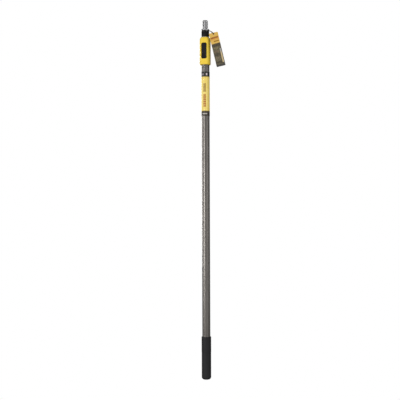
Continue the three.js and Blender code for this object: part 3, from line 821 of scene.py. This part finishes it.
def makeHousing():
    low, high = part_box("lock_housing_front")
    bottom, top = low.z / mm, high.z / mm
    buttonZ = sum(corner.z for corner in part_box("release_button")) / 2 / mm
    pinZ = sum(corner.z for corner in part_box("lock_pin")) / 2 / mm
    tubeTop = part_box("outer_tube")[1].z / mm + 0.2
    bushLow, bushTop = (corner.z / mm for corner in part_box("guide_bush"))
    seat = turned("seat", [(0, (bottom - 1) * mm), (14.5 * mm, (bottom - 1) * mm), (14.5 * mm, tubeTop * mm),
                           (0, tubeTop * mm)], 96)
    passage = loft("passage", [ringOf(hexOutline(hexagon["passage"], hexagon["round"]), z * mm)
                               for z in (tubeTop - 1, top + 1)])
    bushSeat = turned("bushSeat", [(0, (bushLow - fit) * mm), (14.8 * mm, (bushLow - fit) * mm),
                                   (14.8 * mm, (bushTop + fit) * mm), (0, (bushTop + fit) * mm)], 96)
    well = loft("well", [plateRing(button["width"] + 2 * pocket["side"], button["length"] + 2 * pocket["end"],
                                   button["corner"] + pocket["side"], 0, depth, buttonZ, 10, 1)
                         for depth in (-30, pocket["floor"])])
    room = boxMesh("room", (-cavity["half"], pocket["floor"] - 1, cavity["low"]),
                   (cavity["half"], cavity["floor"], cavity["high"]))
    pinHole = acrossMesh("pinHole", 4.9, cavity["floor"] - 1, -5, 0, pinZ)
    for name, side, tools in (
        ("housingFront", -1, [seat, passage, bushSeat, well, room, pinHole, *frontHoles()]),
        ("housingRear", 1, [seat, passage, bushSeat, *screwWells()]),
    ):
        keep = boxMesh("half", *(((-40, -40, bottom - 5), (40, -housing["gap"], top + 5)) if side < 0 else
                                 ((-40, housing["gap"], bottom - 5), (40, 40, top + 5))))
        half = cut(name + "Half", housingBlock(), [keep], operation="INTERSECT")
        mesh = cut(name, half, [tool.copy() for tool in tools], housing["edge"] * mm, 40)
        node = "lock_housing_front" if side < 0 else "lock_housing_rear"
        addPiece(name, mesh, "outer_pole", finishes["yellow"], [node])


# screws

screw = {"head": 2.3, "tubeHead": 2.8, "crown": 0.7, "recess": (0.45, 1.6, 1.1), "shank": 1.5}


def screwNodes():
    return [f"housing_screw_{i}" for i in range(1, 5)]


def screwWells():
    wells = []
    for node in [*screwNodes(), "tube_screw"]:
        low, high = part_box(node)
        x = (low.x + high.x) / 2 / mm
        z = (low.z + high.z) / 2 / mm
        headRoom = (high.x - low.x) / 2 / mm + fit
        wells.append(acrossMesh("screwWell", headRoom, high.y / mm - 2.7, 25, x, z))
        wells.append(acrossMesh("screwHole", screw["shank"] + fit, -5, high.y / mm, x, z))
    return wells


def frontHoles():
    # blind holes for the clamp screws' points, and the seat of the button's pivot pin
    holes = []
    for node in screwNodes():
        low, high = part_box(node)
        x, z = (low.x + high.x) / 2 / mm, (low.z + high.z) / 2 / mm
        holes.append(acrossMesh("pointHole", screw["shank"] + fit, low.y / mm - fit, 5, x, z))
    low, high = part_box("button_pivot_pin")
    reach, radius = high.x + fit * mm, (high.z - low.z) / 2 + fit * mm
    seat = turned("pinSeat", [(0, -reach), (radius, -reach), (radius, reach), (0, reach)], 48)
    centre = Matrix.Translation((0, (low.y + high.y) / 2, (low.z + high.z) / 2))
    return [*holes, moved(seat, centre @ Matrix.Rotation(math.pi / 2, 4, "Y"))]


def screwMesh(head, reach):
    # a pan head screw along Y with its head's crown at the origin and a cross recess
    radius = head * mm
    crown = screw["crown"] * mm
    profile = [(0, -reach * mm), (screw["shank"] * 0.7 * mm, -reach * mm),
               (screw["shank"] * mm, (1.2 - reach) * mm), (screw["shank"] * mm, -2.4 * mm),
               (radius, -2.4 * mm), (radius, -crown)]
    profile += [(radius * math.cos(math.pi / 2 * i / 6), -crown + crown * math.sin(math.pi / 2 * i / 6))
                for i in range(1, 7)]
    mesh = moved(turned("screwBlank", profile, 48), Matrix.Rotation(-math.pi / 2, 4, "X"))
    half, arm, depth = screw["recess"]
    bars = [boxMesh("bar", (-half, -depth, -arm), (half, 1, arm)),
            boxMesh("bar", (-arm, -depth, -half), (arm, 1, half))]
    return cut("screwBlank", mesh, bars, 0.08 * mm, 40)


def scatterTree():
    # sets one shape on each vertex of a guide mesh
    tree, inputs = startTree("setOnPoints", {"Geometry": "Geometry", "Shape": "Object", "Finish": "Material"})
    shape = addNode(tree, "GeometryNodeObjectInfo", None, {"Object": inputs["Shape"]}).outputs["Geometry"]
    points = addNode(tree, "GeometryNodeMeshToPoints", None, {"Mesh": inputs["Geometry"]}).outputs[0]
    copies = addNode(tree, "GeometryNodeInstanceOnPoints", None, {"Points": points, "Instance": shape})
    endTree(tree, copies.outputs[0], inputs["Finish"])
    return tree


def makeScrews():
    tree = scatterTree()
    groups = [("housingScrews", screwNodes(), screw["head"]),
              ("tubeScrew", ["tube_screw"], screw["tubeHead"])]
    for name, nodes, head in groups:
        boxes = [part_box(node) for node in nodes]
        places = [((low.x + high.x) / 2, high.y, (low.z + high.z) / 2) for low, high in boxes]
        reach = (boxes[0][1].y - boxes[0][0].y) / mm
        guide = bpy.data.meshes.new(name + "Places")
        guide.from_pydata(places, [], [])
        shape = bpy.data.objects.new(name + "Shape", screwMesh(head, reach))
        scene.collection.objects.link(shape)
        mesh = grown(name, tree, {"Shape": shape, "Finish": finishes["screw"]}, guide)
        bpy.data.objects.remove(shape)
        addPiece(name, mesh, "outer_pole", None, nodes)


makeHousing()
makeScrews()
print("housing and screws made")


# lock button

ribs = {"count": 5, "pitch": 3.1, "first": -7.5, "length": 10.5, "radius": 0.55}


def buttonDepth(x, zOff):
    # the front face: a shallow thumb scoop in the lower half
    along = (zOff - button["scoopAt"]) / button["scoopHalf"]
    width = x / (button["width"] / 2 - 1)
    share = max(0.0, 1 - along * along) * max(0.0, 1 - width * width)
    return button["scoop"] * math.sqrt(share)


def makeButton():
    low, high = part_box("release_button")
    middle = (low.z + high.z) / 2 / mm
    size = button["round"]
    shape = (button["width"], button["length"], button["corner"])
    rings = [plateRing(*shape, 0, button["back"], middle)]
    for i in range(9):
        angle = math.pi / 2 * i / 8
        rings.append(plateRing(*shape, size * (1 - math.cos(angle)),
                               button["front"] + size * (1 - math.sin(angle)), middle))
    for i in range(1, 13):
        inset = size + (button["width"] / 2 - size) * i / 12
        ring = plateRing(*shape, inset, button["front"], middle)
        rings.append([(x, y + buttonDepth(x / mm, z / mm - middle) * mm, z) for x, y, z in ring])
    plate = loft("buttonPlate", rings, degrees=50)
    parts = [plate, *buttonBack(middle)]
    mesh = joined("lockButton", parts)
    addPiece("lockButton", mesh, "button", finishes["black"], ["release_button"])
    makeRibs(middle)


def buttonBack(middle):
    # the pivot hub and the claw behind the plate
    pivotY = -16.6
    bore, around, half = 1.6 * mm, 2.6 * mm, 6.6 * mm
    hub = turned("hub", [(bore, -half), (around, -half), (around, half), (bore, half)], 48, True)
    moved(hub, Matrix.Translation((0, pivotY * mm, middle * mm)) @ Matrix.Rotation(math.pi / 2, 4, "Y"))
    web = boxMesh("web", (-6.4, button["back"] - 0.5, middle - 2.3), (6.4, pivotY - 1.9, middle + 2.3))
    claws = []
    pinZ = sum(corner.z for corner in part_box("lock_pin")) / 2 / mm
    for side in (-1, 1):
        arm = sorted((side * 4.6, side * 6.2))
        lip = sorted((side * 3.6, side * 5.0))
        claws.append(boxMesh("arm", (arm[0], button["back"] - 0.5, pinZ - 3), (arm[1], -14.8, pinZ + 3)))
        claws.append(boxMesh("lip", (lip[0], -15.5, pinZ - 3), (lip[1], -14.85, pinZ + 3)))
    return [hub, web, *claws]


def ribTree():
    # a row of rounded bars down the scoop
    tree, inputs = startTree("ribRow", {
        "Count": "Int", "Pitch": "Float", "Start": "Vector", "Length": "Float", "Radius": "Float",
        "Finish": "Material"})
    back = calculate(tree, "MULTIPLY", inputs["Pitch"], -1.0)
    step = addNode(tree, "ShaderNodeCombineXYZ", None, {"Z": back}).outputs[0]
    row = addNode(tree, "GeometryNodeMeshLine", None,
                  {"Count": inputs["Count"], "Start Location": inputs["Start"], "Offset": step}).outputs[0]
    half = calculate(tree, "MULTIPLY", inputs["Length"], 0.5)
    ends = [addNode(tree, "ShaderNodeCombineXYZ", None, {"X": x}).outputs[0]
            for x in (calculate(tree, "MULTIPLY", half, -1.0), half)]
    line = addNode(tree, "GeometryNodeCurvePrimitiveLine", None,
                   {"Start": ends[0], "End": ends[1]}).outputs[0]
    fine = addNode(tree, "GeometryNodeResampleCurve", None, {"Curve": line, "Count": 25}).outputs[0]
    along = addNode(tree, "GeometryNodeSplineParameter").outputs["Factor"]
    offset = calculate(tree, "ABSOLUTE", calculate(tree, "MULTIPLY_ADD", along, 2.0, -1.0))
    fall = calculate(tree, "SUBTRACT", 1.0, calculate(tree, "POWER", offset, 8.0))
    narrow = calculate(tree, "POWER", calculate(tree, "MAXIMUM", fall, 0.0001), 0.5)
    shaped = addNode(tree, "GeometryNodeSetCurveRadius", None, {"Curve": fine, "Radius": narrow}).outputs[0]
    section = addNode(tree, "GeometryNodeCurvePrimitiveCircle", None,
                      {"Resolution": 16, "Radius": inputs["Radius"]}).outputs["Curve"]
    bar = addNode(tree, "GeometryNodeCurveToMesh", None,
                  {"Curve": shaped, "Profile Curve": section, "Scale": narrow, "Fill Caps": True}).outputs[0]
    points = addNode(tree, "GeometryNodeMeshToPoints", None, {"Mesh": row}).outputs[0]
    copies = addNode(tree, "GeometryNodeInstanceOnPoints", None, {"Points": points, "Instance": bar})
    endTree(tree, copies.outputs[0], inputs["Finish"])
    return tree


def makeRibs(middle):
    start = (0, (button["front"] + button["scoop"] * 0.75) * mm, (middle + ribs["first"]) * mm)
    mesh = grown("thumbRibs", ribTree(), {
        "Count": ribs["count"], "Pitch": ribs["pitch"] * mm, "Start": start, "Length": ribs["length"] * mm,
        "Radius": ribs["radius"] * mm, "Finish": finishes["black"]}, degrees=60)
    addPiece("thumbRibs", mesh, "button")


makeButton()
print("button made")


# inner tube with its index holes

index = {"count": 9, "pitch": 127, "radius": 3.5}


def holeTree():
    # drills a row of holes through the front wall
    tree, inputs = startTree("indexHoles", {
        "Geometry": "Geometry", "Count": "Int", "Pitch": "Float", "Start": "Vector", "Radius": "Float",
        "Depth": "Float", "Finish": "Material"})
    step = addNode(tree, "ShaderNodeCombineXYZ", None,
                   {"Z": calculate(tree, "MULTIPLY", inputs["Pitch"], -1.0)}).outputs[0]
    row = addNode(tree, "GeometryNodeMeshLine", None,
                  {"Count": inputs["Count"], "Start Location": inputs["Start"], "Offset": step}).outputs[0]
    drill = addNode(tree, "GeometryNodeMeshCylinder", None,
                    {"Vertices": 48, "Radius": inputs["Radius"], "Depth": inputs["Depth"]}).outputs[0]
    points = addNode(tree, "GeometryNodeMeshToPoints", None, {"Mesh": row}).outputs[0]
    copies = addNode(tree, "GeometryNodeInstanceOnPoints", None,
                     {"Points": points, "Instance": drill, "Rotation": (math.pi / 2, 0, 0)})
    drills = addNode(tree, "GeometryNodeRealizeInstances", None, {"Geometry": copies.outputs[0]}).outputs[0]
    drilled = addNode(tree, "GeometryNodeMeshBoolean", {"operation": "DIFFERENCE", "solver": "EXACT"},
                      {"Mesh 1": inputs["Geometry"], "Mesh 2": drills})
    endTree(tree, drilled.outputs[0], inputs["Finish"])
    return tree


def makeInnerTube():
    low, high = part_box("inner_tube")
    outer = hexOutline(hexagon["flats"], hexagon["round"])
    inner = hexOutline(hexagon["flats"] - 2 * hexagon["wall"], 0.4)
    rings = [ringOf(outer, low.z), ringOf(outer, high.z), ringOf(inner, high.z), ringOf(inner, low.z)]
    blank = loft("innerTubeBlank", rings, True)
    pinZ = sum(corner.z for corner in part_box("lock_pin")) / 2
    mesh = grown("innerTube", holeTree(), {
        "Count": index["count"], "Pitch": index["pitch"] * mm, "Start": (0, -10 * mm, pinZ),
        "Radius": index["radius"] * mm, "Depth": 8 * mm, "Finish": finishes["innerTube"]}, blank)
    addPiece("innerTube", mesh, "inner_pole", None, ["inner_tube"])


makeInnerTube()
print("inner tube made")


# ferrule and threaded tip

ferrule = {"radius": 13.5, "round": 1.0, "bore": 6.3, "spigot": 16.2}
tip = {"neck": 10, "flange": 13.5, "round": 0.5, "shank": 6}
thread = {"radius": 9.5, "depth": 1.9, "pitch": 5.08, "crest": 0.37, "flank": 0.13, "steps": 96,
          "perPitch": 24, "taper": 2.2}


def makeFerrule():
    low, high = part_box("tip_ferrule")
    top = high.z / mm
    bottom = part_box("inner_tube")[1].z / mm + fit
    size = ferrule["round"]
    profile = [(0, bottom), (ferrule["radius"] - size, bottom)]
    profile += roundCorner(ferrule["radius"] - size, bottom + size, size, -90, 0, 6)
    profile += [(ferrule["radius"], top - 5.2), (ferrule["radius"] - 0.35, top - 4.9),
                (ferrule["radius"] - 0.35, top - 4.3), (ferrule["radius"], top - 4.0)]
    profile += roundCorner(ferrule["radius"] - 0.6, top - 0.6, 0.6, 0, 90, 5)
    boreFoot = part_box("threaded_tip")[0].z / mm - fit
    profile += [(ferrule["bore"], top), (ferrule["bore"], boreFoot), (0, boreFoot)]
    collar = turned("collar", [(radius * mm, z * mm) for radius, z in profile], 128)
    spigotOutline = hexOutline(ferrule["spigot"], 0.8)
    spigot = loft("spigot", [ringOf(spigotOutline, z) for z in (low.z, (bottom + 0.2) * mm)])
    pinZ = sum(corner.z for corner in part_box("tip_cross_pin")) / 2
    drill = turned("drill", [(0, -20 * mm), (2.3 * mm, -20 * mm), (2.3 * mm, 20 * mm), (0, 20 * mm)], 48)
    moved(drill, Matrix.Translation((0, 0, pinZ)) @ Matrix.Rotation(math.pi / 2, 4, "Y"))
    mesh = joined("tipFerrule", [cut("collarCut", collar, [drill], 0.12 * mm, 40), spigot])
    addPiece("tipFerrule", mesh, "inner_pole", finishes["black"], ["tip_ferrule"])


def threadTree():
    # a cylinder whose surface follows a right-hand trapezoid thread, tapered at its top
    tree, inputs = startTree("screwThread", {
        "Radius": "Float", "Depth": "Float", "Pitch": "Float", "Crest": "Float", "Flank": "Float",
        "Low": "Float", "High": "Float", "Taper": "Float", "Steps": "Int", "Rows": "Int",
        "Finish": "Material"})
    height = calculate(tree, "SUBTRACT", inputs["High"], inputs["Low"])
    blank = addNode(tree, "GeometryNodeMeshCylinder", None,
                    {"Vertices": inputs["Steps"], "Side Segments": inputs["Rows"], "Radius": inputs["Radius"],
                     "Depth": height}).outputs[0]
    middle = calculate(tree, "MULTIPLY", calculate(tree, "ADD", inputs["High"], inputs["Low"]), 0.5)
    lift = addNode(tree, "ShaderNodeCombineXYZ", None, {"Z": middle}).outputs[0]
    placed = shifted(tree, blank, Offset=lift)
    here = addNode(tree, "GeometryNodeInputPosition").outputs[0]
    split = addNode(tree, "ShaderNodeSeparateXYZ", None, {0: here}).outputs
    turn = calculate(tree, "DIVIDE", calculate(tree, "ARCTAN2", split["Y"], split["X"]), 2 * math.pi)
    phase = calculate(tree, "SUBTRACT", calculate(tree, "DIVIDE", split["Z"], inputs["Pitch"]), turn)
    fromCrest = calculate(tree, "SUBTRACT", phase, calculate(tree, "MULTIPLY", inputs["Crest"], 0.5))
    turnShare = calculate(tree, "FRACT", calculate(tree, "ADD", fromCrest, 0.5))
    wrapped = calculate(tree, "SUBTRACT", turnShare, 0.5)
    away = calculate(tree, "ABSOLUTE", wrapped)
    crestHalf = calculate(tree, "MULTIPLY", inputs["Crest"], 0.5)
    rootHalf = calculate(tree, "ADD", crestHalf, inputs["Flank"])
    depth = addNode(tree, "ShaderNodeMapRange", {"interpolation_type": "SMOOTHSTEP"},
                    {0: away, 1: crestHalf, 2: rootHalf, 3: 0.0, 4: inputs["Depth"]}).outputs[0]
    taper = addNode(tree, "ShaderNodeMapRange", None,
                    {0: split["Z"], 1: calculate(tree, "SUBTRACT", inputs["High"], inputs["Taper"]),
                     2: inputs["High"], 3: 0.0, 4: inputs["Taper"]}).outputs[0]
    runout = addNode(tree, "ShaderNodeMapRange", None,
                     {0: split["Z"], 1: inputs["Low"],
                      2: calculate(tree, "MULTIPLY_ADD", inputs["Pitch"], 0.5, inputs["Low"]),
                      3: inputs["Depth"], 4: 0.0}).outputs[0]
    deepest = calculate(tree, "MAXIMUM", depth, runout)
    removed = calculate(tree, "ADD", deepest, calculate(tree, "MULTIPLY", taper, 0.8))
    share = calculate(tree, "SUBTRACT", 1.0, calculate(tree, "DIVIDE", removed, inputs["Radius"]))
    flat = addNode(tree, "ShaderNodeCombineXYZ", None,
                   {"X": calculate(tree, "MULTIPLY", split["X"], share),
                    "Y": calculate(tree, "MULTIPLY", split["Y"], share), "Z": split["Z"]}).outputs[0]
    endTree(tree, shifted(tree, placed, Position=flat), inputs["Finish"])
    return tree


def makeTip():
    low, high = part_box("threaded_tip")
    shoulder = frameMount("tip_shoulder").z / mm
    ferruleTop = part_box("tip_ferrule")[1].z / mm
    neckLow, neckHigh = ferruleTop + fit, ferruleTop + 2.6
    size = tip["round"]
    profile = [(0, low.z / mm), (tip["shank"], low.z / mm), (tip["shank"], neckLow), (tip["neck"], neckLow),
               (tip["neck"], neckHigh)]
    profile += roundCorner(tip["flange"] - size, neckHigh + size, size, -90, 0, 4)
    profile += roundCorner(tip["flange"] - size, shoulder - size, size, 0, 90, 4)
    profile += [(thread["radius"] - thread["depth"] - 0.1, shoulder), (0, shoulder)]
    base = turned("tipBase", [(radius * mm, z * mm) for radius, z in profile], 128)
    rows = round((high.z / mm - shoulder + 0.4) / thread["pitch"] * thread["perPitch"])
    stem = grown("tipThread", threadTree(), {
        "Radius": thread["radius"] * mm, "Depth": thread["depth"] * mm, "Pitch": thread["pitch"] * mm,
        "Crest": thread["crest"], "Flank": thread["flank"], "Low": (shoulder - 0.4) * mm, "High": high.z,
        "Taper": thread["taper"] * mm, "Steps": thread["steps"], "Rows": rows, "Finish": finishes["tip"]},
        degrees=50)
    mesh = joined("threadedTip", [base, stem])
    addPiece("threadedTip", mesh, "inner_pole", finishes["tip"], ["threaded_tip"])


def frameMount(name):
    return Vector(next(mount["pos_m"] for mount in frame["record"]["mounts"] if mount["name"] == name))


def makeCrossPin():
    low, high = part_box("tip_cross_pin")
    half, radius, size = high.x, high.y, 0.4 * mm
    profile = [(0, -half), (radius - size, -half), (radius, size - half), (radius, half - size),
               (radius - size, half), (0, half)]
    mesh = turned("crossPin", profile, 48)
    moved(mesh, Matrix.Translation((0, 0, (low.z + high.z) / 2)) @ Matrix.Rotation(math.pi / 2, 4, "Y"))
    addPiece("crossPin", mesh, "inner_pole", finishes["steel"], ["tip_cross_pin"])


makeFerrule()
makeTip()
makeCrossPin()
print("tip made")


# the parts inside, and the guide bush

def makeBush():
    low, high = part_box("guide_bush")
    outer = circle(high.x, 126)
    inner = hexOutline(hexagon["bush"], hexagon["round"], 20)
    work = [ringOf(outer, low.z), ringOf(outer, high.z - 0.5 * mm), ringOf(shrunk(outer, 0.5 * mm), high.z),
            ringOf(shrunk(inner, -0.6 * mm), high.z), ringOf(inner, high.z - 0.6 * mm), ringOf(inner, low.z)]
    mesh = loft("guideBush", work, True)
    addPiece("guideBush", mesh, "outer_pole", finishes["black"], ["guide_bush"])


makeBush()
hiddenFinishes = {
    "end_plug": "black", "button_pivot_pin": "steel", "button_spring": "steel", "lock_pin": "steel",
    "lock_pin_bush": "steel", "pole_glide": "glide", "glide_rivet": "steel", "ferrule_rivet": "steel",
}
for node, finishName in hiddenFinishes.items():
    paintNode(node, finishes[finishName])
print("inner parts finished")


# light

room = {"brightSide": (0.1, -0.99, 0.0), "dim": 0.1, "bright": 0.72}


def makeWorld():
    # plain white behind, and for the reflections a dim room that is brighter at the front
    world = bpy.data.worlds.new("studio")
    scene.world = world
    world.use_nodes = True
    tree = world.node_tree
    seen = addNode(tree, "ShaderNodeLightPath").outputs["Is Camera Ray"]
    direction = addNode(tree, "ShaderNodeTexCoord").outputs["Generated"]
    side = addNode(tree, "ShaderNodeVectorMath", {"operation": "DOT_PRODUCT"},
                   {0: direction, 1: room["brightSide"]}).outputs["Value"]
    lit = addNode(tree, "ShaderNodeMapRange", None,
                  {0: side, 1: -0.6, 2: 1.0, 3: room["dim"], 4: room["bright"]})
    strength = addNode(tree, "ShaderNodeMapRange", None, {0: seen, 3: lit.outputs[0], 4: 1.0}).outputs[0]
    background = tree.nodes["Background"]
    background.inputs["Color"].default_value = (1, 1, 1, 1)
    tree.links.new(strength, background.inputs["Strength"])


def addLight(name, place, target, size, power):
    data = bpy.data.lights.new(name, "AREA")
    data.shape = "RECTANGLE"
    data.size, data.size_y = size
    data.energy = power
    light = bpy.data.objects.new(name, data)
    scene.collection.objects.link(light)
    light.visible_camera = False
    light.location = place
    light.rotation_euler = (Vector(target) - Vector(place)).to_track_quat("-Z", "Y").to_euler()


makeWorld()
addLight("key", (-1.5, -2.4, 0.75), (0, 0, 0.62), (0.35, 1.5), 26)
addLight("leftFill", (-2.4, -1.2, 0.8), (0, 0, 0.6), (0.6, 1.6), 2)
addLight("rightFill", (2.6, -0.9, 0.85), (0, 0, 0.6), (0.6, 1.6), 6.5)
addLight("rear", (-2.6, 2.2, 1.0), (0, 0, 0.6), (1.0, 1.6), 40)
addLight("tipLight", (0.42, -0.16, 1.3), (0, 0, 1.235), (0.1, 0.1), 0.1)
print("stage set")
